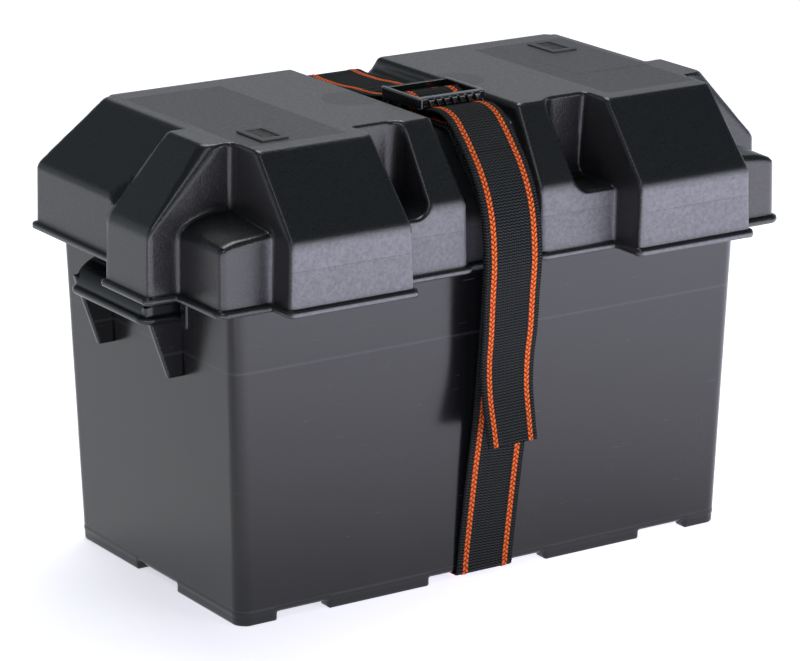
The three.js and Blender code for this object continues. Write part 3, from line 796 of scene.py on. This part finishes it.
def handle_field(x, y, z):
    """A handle: an arched cowl with a rolled lip, a rib at each end, and a tab beside it."""
    root = WALL_X + DRAFT * HANDLE_Z - 1
    out, up = np.abs(x) - root, z - HANDLE_Z
    r = 6.0
    qx, qy = out - HANDLE_REACH + r, np.abs(y) - HANDLE_HALF + r
    edge = np.hypot(np.maximum(qx, 0), np.maximum(qy, 0)) + np.minimum(np.maximum(qx, qy), 0) - r

    def arch(reach, rise):
        away = np.maximum(np.hypot(out, up), 1e-3)
        return away * (1 - 1 / np.maximum(np.hypot(out / reach, up / rise), 1e-3))

    cowl = every(arch(HANDLE_REACH, 18.0), edge, -up, r=1.2)
    inside = every(arch(HANDLE_REACH - 3, 15.0), edge + 3, r=1.5)
    cowl = round_max(cowl, -inside, 0.6)
    lip = np.hypot(edge + 0.7, up - 0.4) - 2.5
    slant = face(out, z, (10.0, HANDLE_Z - 33.0), (22.0, HANDLE_Z + 2.0))
    plates = np.abs(np.abs(y) - HANDLE_HALF + 1.7) - 1.5
    rib = every(slant, plates, HANDLE_Z - 34.0 - z, up - 8.0, r=0.7)
    web = every(arch(HANDLE_REACH - 1, 17.0), plates, -up, edge + 1.0, r=0.5)
    tab = every(out - 4.5, np.abs(y + HANDLE_HALF + 7.5) - 3.5, np.abs(up - 3.0) - 7.5, r=0.8)
    body = round_min(np.minimum(cowl, web), rib, 1.5)
    body = round_min(body, lip, 0.8)
    return np.maximum(np.minimum(body, tab), -out)


# ---- small mouldings ----
def vent_field(x, y, z):
    """A vent: a raised frame round slats."""
    up = z - ROOF
    frame = round_max(rounded(x, y, 8.75, 13.5, 1.2), np.abs(up - 0.78) - 0.78, 0.45)
    plug = np.maximum(rounded(x, y, 6.6, 11.3, 0.6), np.abs(up + 0.85) - 1.15)
    body = np.minimum(frame, plug)
    well = every(rounded(x, y, 5.5, 10.3, 0.7), -0.9 - up, r=0.3)
    body = round_max(body, -well, 0.35)
    slat = np.abs(np.mod(y + 1.2, 2.4) - 1.2) - 0.45
    slats = every(slat, rounded(x, y, 5.7, 10.5, 0.5), up - 0.75, -up - 1.3, r=0.2)
    return np.minimum(body, slats)


BAR_Y, ANCHOR_Y = -28.25, -17.5


def buckle_field(x, y, z):
    """The buckle: a plate with a window, two cross bars, and teeth on its front."""
    back, front = BUCKLE_HIGH[1] - MID_Y, -53.0
    half, floor, top = BUCKLE_HIGH[0], 263.2, 269.6
    middle = (back + front) / 2
    plate = rounded(x, y - middle, half, (back - front) / 2, 2.8)
    lean = (top - z) * 0.06
    body = round_max(plate + lean, np.abs(z - (floor + top) / 2) - (top - floor) / 2, 0.8)
    window = every(np.abs(x) - half + 2.7 - lean, np.abs(y + 32.2) - 15.8, r=1.0)
    body = round_max(body, -window, 0.55)
    inner = np.abs(x) - half + 2.9
    step = every(inner, y + 47.6, z - floor - 1.6, r=0.3)
    rear = every(inner, -17.0 - y, np.minimum(z - floor - 1.9, -15.2 - y), r=0.3)
    body = round_max(round_max(body, -step, 0.4), -rear, 0.6)
    # The middle bar on its ears, and the anchor bar on its lugs.
    rim = np.abs(x) - half
    bar = np.maximum(np.hypot(y - BAR_Y, z - floor - 0.6) - 2.05, rim + 1.0)
    ear = every(np.abs(rim + 1.6) - 1.0, np.abs(y - BAR_Y) - 3.2, np.abs(z - 263.4) - 1.9, r=0.7)
    anchor = np.maximum(np.hypot(y - ANCHOR_Y, z - 261.6) - 1.4, rim + 1.0)
    lug = np.abs(y - ANCHOR_Y) - 2.8
    lug = every(np.abs(rim + 1.5) - 1.1, lug, np.abs(z - 262.0) - 2.6, r=0.9)
    body = round_min(np.minimum(np.minimum(body, bar), anchor), np.minimum(ear, lug), 0.5)
    pitch = (2 * half - 9.4) / 7
    across = np.abs(np.mod(x + pitch / 2, pitch) - pitch / 2)
    flank = (across - (z - floor - 1.2) * 0.46) * 0.9
    tooth = every(flank, np.abs(y - front - 0.4) - 1.9, z - top + 1.0, r=0.25)
    tooth = np.maximum(tooth, np.abs(x) - pitch * 3.5)
    return np.minimum(body, tooth)


# ---- webbing ----
# Centre line as (y, z, x, turn), in millimetres and degrees: x is its drift sideways and turn
# its twist.
ANCHOR = [
    (24.5, 256.6), (14.0, 256.7), (4.0, 257.2), (-6.0, 258.4), (-13.0, 259.2),
    (-17.5, 259.3), (-19.4, 260.2), (-19.8, 261.6), (-19.2, 263.1), (-17.2, 263.9),
    (-12.0, 263.2), (-4.0, 261.3), (6.0, 259.8), (16.0, 259.2), (27.5, 258.7),
]
LOOP = [
    (27.5, 258.7), (43.5, 257.4), (63.9, 257.2), (73.9, 257.4), (79.9, 254.0),
    (95.0, 234.5), (102.9, 223.5), (104.6, 202.0), (104.52, 186.0), (104.2, 175.0),
    (98.4, 94.0), (92.2, 9.0), (92.0, 5.1), (91.2, 3.6), (88.7, 3.4), (40.0, 3.4, -1.0),
    (0.0, 3.4, -2.0), (-40.0, 3.4, -3.0), (-88.7, 3.4, -3.7), (-91.2, 3.6, -3.7),
    (-92.0, 5.1, -3.7), (-92.2, 9.0, -3.7), (-95.9, 60.0, -0.6), (-98.8, 100.0, 2.4),
    (-104.2, 175.0, 4.2), (-104.52, 186.0, 4.3), (-103.6, 204.0, 4.3), (-101.8, 213.0, 4.3),
    (-98.6, 220.6, 4.2), (-92.4, 228.9, 4.1),
]
FEED = [
    (-92.4, 228.9, 4.1), (-86.1, 237.2, 3.5), (-79.9, 245.5, 2.6), (-75.6, 252.6, 1.6),
    (-71.2, 256.6, 0.7), (-64.7, 256.9), (-47.0, 256.8), (-34.25, 256.9), (-29.25, 259.9),
    (-25.3, 261.8), (-25.0, 265.4), (-28.25, 267.2), (-33.25, 266.5), (-39.25, 264.4),
    (-48.0, 263.4), (-54.0, 263.5), (-61.0, 264.5), (-67.5, 264.0), (-74.7, 261.4),
    (-82.7, 254.8), (-91.6, 245.6),
]
TAIL = [
    (-91.6, 245.6), (-99.8, 235.6), (-106.4, 223.8), (-110.4, 211.6), (-112.5, 195.0),
    (-112.7, 184.0), (-111.3, 167.5, 0, 1), (-109.8, 146.0, 0, 2), (-108.1, 130.0, -0.3, 4),
    (-108.8, 112.0, -0.6, 7), (-112.2, 96.0, -0.8, 9), (-115.0, 83.6, -1.0, 10),
]
STITCHED = ANCHOR[10:]  # the upper leg of the fold, which the stitches cross
LINE_STEPS = 60  # samples between two points of the centre line


def smooth_line(points):
    """A fine curve through the points, and its length at each point."""
    p = np.array([tuple(q) + (0,) * (4 - len(q)) for q in points], float)
    chords = np.linalg.norm(np.diff(p[:, :2], axis=0), axis=1)
    t = np.concatenate([[0], np.cumsum(np.sqrt(chords))])
    slope = np.gradient(p, t, axis=0)
    fine = [np.linspace(a, b, LINE_STEPS, endpoint=False) for a, b in zip(t[:-1], t[1:])]
    fine = np.concatenate([*fine, t[-1:]])
    k = np.clip(np.searchsorted(t, fine, side="right") - 1, 0, len(t) - 2)
    span = (t[k + 1] - t[k])[:, None]
    s = (fine - t[k])[:, None] / span
    line = (
        (2 * s**3 - 3 * s**2 + 1) * p[k]
        + (s**3 - 2 * s**2 + s) * span * slope[k]
        + (3 * s**2 - 2 * s**3) * p[k + 1]
        + (s**3 - s**2) * span * slope[k + 1]
    )
    along = np.concatenate([[0], np.cumsum(np.linalg.norm(np.diff(line[:, :3], axis=0), axis=1))])
    return line, along, along[::LINE_STEPS]


def strap_profile():
    """One face of the webbing, edge to edge: across, height above its middle, share of stripe."""
    half = sizes().strap_width / MM / 2
    thick = sizes().strap_thick / MM / 2
    mid, wide = sizes().stripe_offset / MM, sizes().stripe_width / MM / 2
    right = [
        (0.0, 1.0, 0), (3.0, 1.0, 0), (6.5, 1.0, 0), (mid - wide - 0.4, 1.0, 0),
        (mid - wide, 1.12, 1), (mid - wide * 0.55, 1.4, 1), (mid - 0.25, 1.3, 1),
        (mid, 1.12, 1), (mid + 0.25, 1.3, 1), (mid + wide * 0.55, 1.4, 1), (mid + wide, 1.12, 1),
        (mid + wide + 0.4, 1.0, 0), (half - 1.2, 1.02, 0), (half - 0.5, 0.85, 0),
        (half - 0.12, 0.4, 0),
    ]
    rows = np.array(right, float)
    left = rows[:0:-1] * [-1, 1, 1]
    face_row = np.concatenate([left, rows])
    return face_row[:, 0], face_row[:, 1] * thick, face_row[:, 2]


def webbing(name, line, along, start, end):
    """A length of the strap between two distances along its line."""
    pitch = RIB / 2
    count = max(4, int(round((end - start) / pitch)))
    at = np.linspace(start, end, count + 1)

    def spot(where):
        return np.stack([np.interp(where, along, line[:, k]) for k in (2, 0, 1)], axis=1)

    middle = spot(at)
    turn = np.radians(np.interp(at, along, line[:, 3]))
    way = spot(at + 0.4) - spot(at - 0.4)
    way /= np.linalg.norm(way, axis=1)[:, None]
    across = np.stack([np.cos(turn), np.sin(turn), np.zeros(len(at))], axis=1)
    across -= way * np.sum(across * way, axis=1)[:, None]
    across /= np.linalg.norm(across, axis=1)[:, None]
    out = np.cross(way, across)
    u, h, stripe = strap_profile()
    n = len(u)
    # The profile's two faces make a ring of points, one ring for each step along.
    ring_u = np.concatenate([u, u[::-1]])
    ring_h = np.concatenate([h, -h[::-1]])
    ring_s = np.concatenate([stripe, stripe[::-1]])
    rib = 0.5 + 0.5 * np.cos(at / RIB * 2 * np.pi)
    off = np.abs(ring_u) - sizes().stripe_offset / MM
    link = np.abs(np.sin((at[:, None] / LINK + (off > 0) * 0.5 + np.abs(off) * 0.25) * np.pi))
    swell = 1 - 0.18 * (1 - rib[:, None]) * (1 - ring_s) - 0.2 * (1 - link) * ring_s
    edge = np.where(np.abs(ring_u) > 17, 0.3, 0.0) * np.sign(ring_u)
    wide = ring_u[None] - edge[None] * (1 - rib[:, None])
    place = middle[:, None] + wide[..., None] * across[:, None]
    place = place + (ring_h * swell)[..., None] * out[:, None]
    rows, ring = len(at), 2 * n
    k = np.arange(ring)
    here = (np.arange(rows - 1) * ring)[:, None] + k
    after = here - k + (k + 1) % ring
    quads = np.stack([here, after, after + ring, here + ring], axis=-1)
    i = np.arange(n - 1)
    cap = np.stack([i, ring - 1 - i, ring - 2 - i, i + 1], axis=1)
    faces = np.concatenate([quads.reshape(-1, 4), cap, cap[:, ::-1] + (rows - 1) * ring])
    piece = solid(name, place.reshape(-1, 3), faces)
    weave = np.zeros((rows, ring, 3))
    weave[..., 0], weave[..., 1] = ring_u, at[:, None]
    data = piece.data.attributes.new("weave", "FLOAT_VECTOR", "POINT").data
    data.foreach_set("vector", weave.astype(np.float32).ravel())
    return piece


def make_straps(finish):
    line, along, marks = smooth_line(ANCHOR + LOOP[1:] + FEED[1:] + TAIL[1:])
    names = ("strap_anchor", "strap_loop", "strap_feed", "strap_tail_end")
    pieces, flats, last = [], [], 0
    for name, path in zip(names, (ANCHOR, LOOP, FEED, TAIL)):
        first, last = last, last + len(path) - 1
        start, end = marks[first], marks[last]
        piece = webbing(name, line, along, start, end)
        pieces.append(dress(piece, finish, None))
        flats.append((sizes().strap_width, (end - start) * MM))
    anchor, loop, feed, tail = pieces
    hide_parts("strap_anchor_fold")
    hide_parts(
        "strap_under", "strap_front_run", "strap_back_run",
        "strap_front_upper", "strap_top_run",
    )
    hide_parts("strap_wrap", "strap_tail_upper")
    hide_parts("strap_tail")
    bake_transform(anchor)
    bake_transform(loop)
    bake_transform(feed)
    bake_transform(tail)


def make_stitches(finish):
    """A box stitch that holds the strap's folded end, each stitch a short bowed thread."""
    west, east, low, high = -13.0, 13.0, 10.0, 20.0
    corners = [(west, low), (east, low), (east, high), (west, high), (west, low), (east, high)]
    line = smooth_line(STITCHED)[0]
    points, faces = [], []
    for (x0, y0), (x1, y1) in zip(corners[:-1], corners[1:]):
        length = math.hypot(x1 - x0, y1 - y0)
        count = int(length / 2.4)
        ux, uy = (x1 - x0) / length, (y1 - y0) / length
        for i in range(count):
            for j in range(7):
                s = (i + 0.14 + 0.72 * j / 6) * length / count
                x, y = x0 + ux * s, y0 + uy * s
                z = float(np.interp(y, line[:, 0], line[:, 1])) + 0.72
                rise = 0.34 * math.sin(math.pi * j / 6)
                for k in range(6):
                    a = k * math.pi / 3
                    r = 0.3 * math.sin(math.pi * (j + 0.8) / 7.6) + 0.05
                    out = r * math.cos(a)
                    points.append((x - uy * out, y + ux * out, z + rise + r * math.sin(a)))
                if j:
                    b = len(points) - 12
                    turns = [(b + k, b + (k + 1) % 6) for k in range(6)]
                    faces += [(a, c, c + 6, a + 6) for a, c in turns]
            b = len(points) - 42
            faces += [tuple(range(b + 5, b - 1, -1)), tuple(range(b + 36, b + 42))]
    piece = solid("box_stitch", points, faces)
    return dress(piece, finish, "lid", ["anchor_stitching"])


# ---- stage ----
FLOOR_HALF, FLOOR_CELLS = 9.0, 24
# Name, watts, place, aim, width and height.
LIGHTS = [
    ("overhead", 37.0, (0.3, 0.9, 2.5), (0, 0, 0), 1.5, 1.5),
    ("front_box", 12.0, (1.0, -2.2, 0.7), (0, 0, 0.15), 1.2, 0.8),
    ("key_box", 3.5, (-1.05, -1.0, 1.6), (0, 0, 0.2), 0.7, 0.7),
]
CAMERA_PLACE = (-1.1604, -1.75715, 0.7473)
CAMERA_TURN, CAMERA_LIFT = -32.923, 16.484  # degrees round the box, and above the floor
CAMERA_LENS, CAMERA_SHIFT = 172.64, (0.02665, -0.00204)


def floor_finish():
    f = Finish("floor_paper")
    x, y, _, place = f.places()
    tooth = f.noise(place, 300.0, 2.0)
    base = f.mix(tooth, (0.86, 0.86, 0.86), (0.9, 0.9, 0.9))
    # The paper glows, more so in front, so that the walls mirror a bright sweep.
    reach = (x * x + y * y).power(0.5)
    ahead = (x * 0.4 - y - 0.1).ramp(-0.22, 0.75) * reach.ramp(4.0, 1.5)
    dx, dy = x + 0.85, y + 0.52
    pool = (dx * dx + dy * dy).power(0.5).ramp(0.27, 0.1)
    glow = f.mix(ahead, (0.065, 0.065, 0.071), (0.315, 0.308, 0.37))
    glow = f.mix(pool, glow, (0.9, 0.88, 0.97))
    constants = {"Emission Color": glow, "Emission Strength": 9.0}
    return f.done(base, 0.75, f.bump(tooth, 0.02, 0.0002), constants)


def make_floor():
    n = FLOOR_CELLS
    marks = [FLOOR_HALF * (2 * i / n - 1) for i in range(n + 1)]
    faces = []
    for j in range(n):
        for a in range(j * (n + 1), j * (n + 1) + n):
            faces.append((a, a + 1, a + n + 2, a + n + 1))
    mesh = bpy.data.meshes.new("floor")
    mesh.from_pydata([(x, y, 0.0) for y in marks for x in marks], [], faces)
    floor = add_object("floor", mesh)
    mesh.materials.append(floor_finish())


def make_stage():
    scene = bpy.context.scene
    scene.view_settings.view_transform = "Standard"
    scene.view_settings.look = "None"
    make_floor()

    scene.world = bpy.data.worlds.new("studio")
    w = Finish(scene.world)
    up = w.split(w.node("ShaderNodeTexCoord", out="Generated"))[2]
    values = {"Color": (0.86, 0.97, 1.05, 1.0), "Strength": up.ramp(0.55, 0.1) * 0.55 + 0.075}
    sky = w.node("ShaderNodeBackground", None, values)
    w.node("ShaderNodeOutputWorld", None, {"Surface": sky})

    for name, energy, place, aim, wide, tall in LIGHTS:
        light = bpy.data.lights.new(name, "AREA")
        light.shape, light.size, light.size_y, light.energy = "RECTANGLE", wide, tall, energy
        lamp = add_object(name, light)
        lamp.location = place
        lamp.rotation_euler = (Vector(aim) - Vector(place)).to_track_quat("-Z", "Y").to_euler()

    turn, lift = math.radians(CAMERA_TURN), math.radians(CAMERA_LIFT)
    ahead = Vector((-math.sin(turn), math.cos(turn), -math.tan(lift)))
    view = bpy.data.cameras.new("camera")
    view.sensor_width, view.lens = 36.0, CAMERA_LENS
    view.shift_x, view.shift_y = CAMERA_SHIFT
    camera = add_object("camera", view)
    camera.location = CAMERA_PLACE
    camera.rotation_euler = ahead.to_track_quat("-Z", "Y").to_euler()
    scene.camera = camera


# ---- operators ----
FINISHES = {}


def finish_of(name, make):
    if name not in FINISHES:
        FINISHES[name] = make()
    return FINISHES[name]


class BOX_OT_stage(bpy.types.Operator):
    """Sets the floor, the lights and the camera"""

    bl_idname = "battery_box.stage"
    bl_label = "Stage"

    def execute(self, context):
        make_stage()
        return {"FINISHED"}


class BOX_OT_tub(bpy.types.Operator):
    """Moulds the tub with its feet"""

    bl_idname = "battery_box.tub"
    bl_label = "Tub"

    def execute(self, context):
        fine = sizes().grid / MM
        foot, top = levels(0, 12, fine * 0.6), levels(TUB_TOP - 3, TUB_TOP, fine * 0.6)
        up = np.concatenate([foot, np.arange(16.0, TUB_TOP - 6, 6.0), top])
        axes = [levels(-171, 171, fine), levels(-98, 98, fine), up]
        piece = moulded("tub_shell", tub_field, None, None, fine * 0.6, axes)
        dress(piece, finish_of("tub_plastic", tub_finish), "box", ["tub"])
        return {"FINISHED"}


class BOX_OT_handles(bpy.types.Operator):
    """Moulds the two handles on the tub's ends"""

    bl_idname = "battery_box.handles"
    bl_label = "Handles"

    def execute(self, context):
        step = sizes().grid / MM * 0.55
        for name, low, high in (("handle_left", -194.0, -164.0), ("handle_right", 164.0, 194.0)):
            piece = moulded(name, handle_field, [low, -54, 130], [high, 43, 187], step)
            dress(piece, finish_of("tub_plastic", tub_finish), "box")
        return {"FINISHED"}


class BOX_OT_lid(bpy.types.Operator):
    """Moulds the lid with its blocks, notches and strap channel"""

    bl_idname = "battery_box.lid"
    bl_label = "Lid"

    def execute(self, context):
        make_lid(finish_of("lid_plastic", lid_finish))
        return {"FINISHED"}


class BOX_OT_vents(bpy.types.Operator):
    """Moulds the two slatted vents in the lid's roof"""

    bl_idname = "battery_box.vents"
    bl_label = "Vents"

    def execute(self, context):
        for node, (cx, cy) in zip(("vent_left", "vent_right"), VENTS):

            def field(x, y, z):
                return vent_field(x - cx, y - cy, z)

            low = [cx - 8.8, cy - 13.6, ROOF - 2.1]
            high = [cx + 8.8, cy + 13.6, ROOF + 1.6]
            piece = moulded(node + "_grille", field, low, high, 0.42)
            dress(piece, finish_of("vent_plastic", vent_finish), "lid", [node])
        return {"FINISHED"}


class BOX_OT_buckle(bpy.types.Operator):
    """Moulds the toothed buckle"""

    bl_idname = "battery_box.buckle"
    bl_label = "Buckle"

    def execute(self, context):
        low, high = BUCKLE_LOW - [0, MID_Y, 3.6], BUCKLE_HIGH - [0, MID_Y, 0]
        piece = moulded("buckle_frame", buckle_field, low, high, 0.4)
        dress(piece, finish_of("buckle_gloss", gloss_finish), "buckle", ["buckle"])
        return {"FINISHED"}


class BOX_OT_straps(bpy.types.Operator):
    """Weaves the strap round the box, through the buckle and down to its loose end"""

    bl_idname = "battery_box.straps"
    bl_label = "Straps"

    def execute(self, context):
        make_straps(finish_of("webbing", webbing_finish))
        return {"FINISHED"}


class BOX_OT_stitches(bpy.types.Operator):
    """Sews the strap's folded end"""

    bl_idname = "battery_box.stitches"
    bl_label = "Box stitch"

    def execute(self, context):
        make_stitches(finish_of("thread", thread_finish))
        return {"FINISHED"}


OPERATORS = (
    BOX_OT_stage,
    BOX_OT_tub,
    BOX_OT_handles,
    BOX_OT_lid,
    BOX_OT_vents,
    BOX_OT_buckle,
    BOX_OT_straps,
    BOX_OT_stitches,
)


class BOX_PT_panel(bpy.types.Panel):
    """Lists the box's pieces and their sizes and colours"""

    bl_label = "Battery box"
    bl_idname = "BOX_PT_panel"
    bl_space_type = "VIEW_3D"
    bl_region_type = "UI"
    bl_category = "Battery box"

    def draw(self, context):
        for group in (sizes(), colours()):
            for key in group.__annotations__:
                self.layout.prop(group, key)
        for operator in OPERATORS:
            self.layout.operator(operator.bl_idname)


CLASSES = (BoxSizes, BoxColours, *OPERATORS, BOX_PT_panel)


def register():
    for c in CLASSES:
        bpy.utils.register_class(c)
    bpy.types.Scene.battery_box_sizes = bpy.props.PointerProperty(type=BoxSizes)
    bpy.types.Scene.battery_box_colours = bpy.props.PointerProperty(type=BoxColours)


def unregister():
    del bpy.types.Scene.battery_box_colours
    del bpy.types.Scene.battery_box_sizes
    for c in reversed(CLASSES):
        bpy.utils.unregister_class(c)


def main():
    register()
    for operator in OPERATORS:
        group, name = operator.bl_idname.split(".")
        getattr(getattr(bpy.ops, group), name)()


if __name__ == "__main__":
    main()
